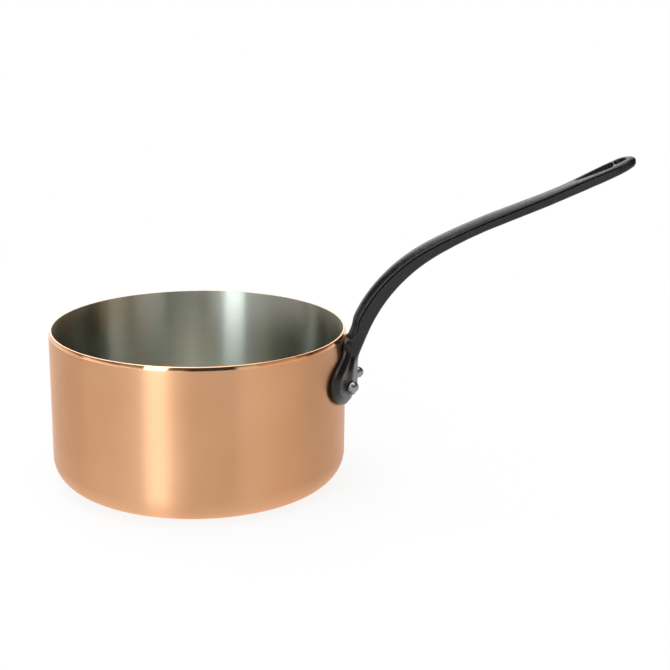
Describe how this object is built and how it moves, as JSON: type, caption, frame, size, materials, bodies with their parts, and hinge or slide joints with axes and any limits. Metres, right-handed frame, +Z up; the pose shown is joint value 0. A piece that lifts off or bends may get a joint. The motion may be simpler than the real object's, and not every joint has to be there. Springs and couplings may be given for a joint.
{
  "type": "saucepan",
  "caption": "Straight-sided copper saucepan lined with stainless steel, with a long cast iron handle that is riveted to the wall and ends in a hanging loop.",
  "frame": {"origin": "on the pan's axis, at the level of its flat base", "axes": "+Z up along the pan's axis, +X out along the handle, +Y to the right hand of a person who holds the handle"},
  "size_m": [0.345, 0.18, 0.2052],
  "materials": {
    "copper": null,
    "lining_steel": "brushed round the wall",
    "cast_iron": "black, with the fine grain of sand casting",
    "rivet_steel": "bright, smooth domes"
  },
  "bodies": {
    "root": {"copper_shell": "copper", "steel_lining": "lining_steel", "cast_iron_handle": "cast_iron", "rivet_left": "rivet_steel", "rivet_right": "rivet_steel"}
  },
  "joints": []
}
